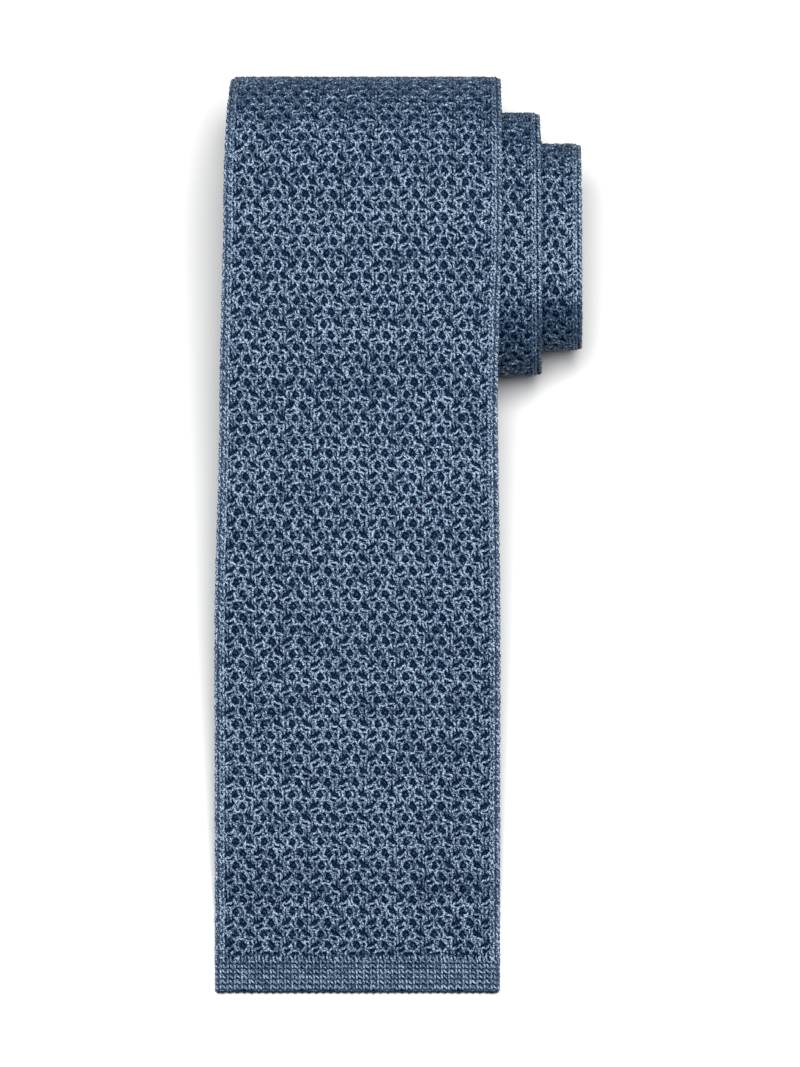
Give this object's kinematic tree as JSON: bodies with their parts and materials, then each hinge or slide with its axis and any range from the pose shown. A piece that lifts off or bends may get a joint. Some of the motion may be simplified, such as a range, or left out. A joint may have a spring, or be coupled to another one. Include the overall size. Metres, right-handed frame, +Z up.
{
  "type": "knit necktie, rolled",
  "caption": "Square-ended knit tie in steel-blue silk, folded in half and rolled from the neck, with the wide blade leading down in front.",
  "frame": {"origin": "middle of the bottom of the whole, on the surface that the tie lies on", "axes": "+X across the tie to the side where the inner turns stick out, +Y along the tie from the wide end to the roll, +Z up"},
  "size_m": [0.0896, 0.2242, 0.0609],
  "materials": {
    "mesh_knit": "coarse openwork knit of dyed silk yarn, soft gloss on each stitch, dark in the holes",
    "plain_knit": "fine plain knit of the same dyed silk yarn, close and even"
  },
  "bodies": {
    "root": {"wide_end_band": "plain_knit", "wide_blade": "mesh_knit", "wide_turn_2": "mesh_knit", "wide_turn_3": "mesh_knit", "wide_turn_4": "mesh_knit", "neck_fold": "mesh_knit", "narrow_turn_4": "mesh_knit", "narrow_turn_3": "mesh_knit", "narrow_turn_2": "mesh_knit", "narrow_blade": "mesh_knit", "narrow_end_band": "plain_knit"}
  },
  "joints": []
}
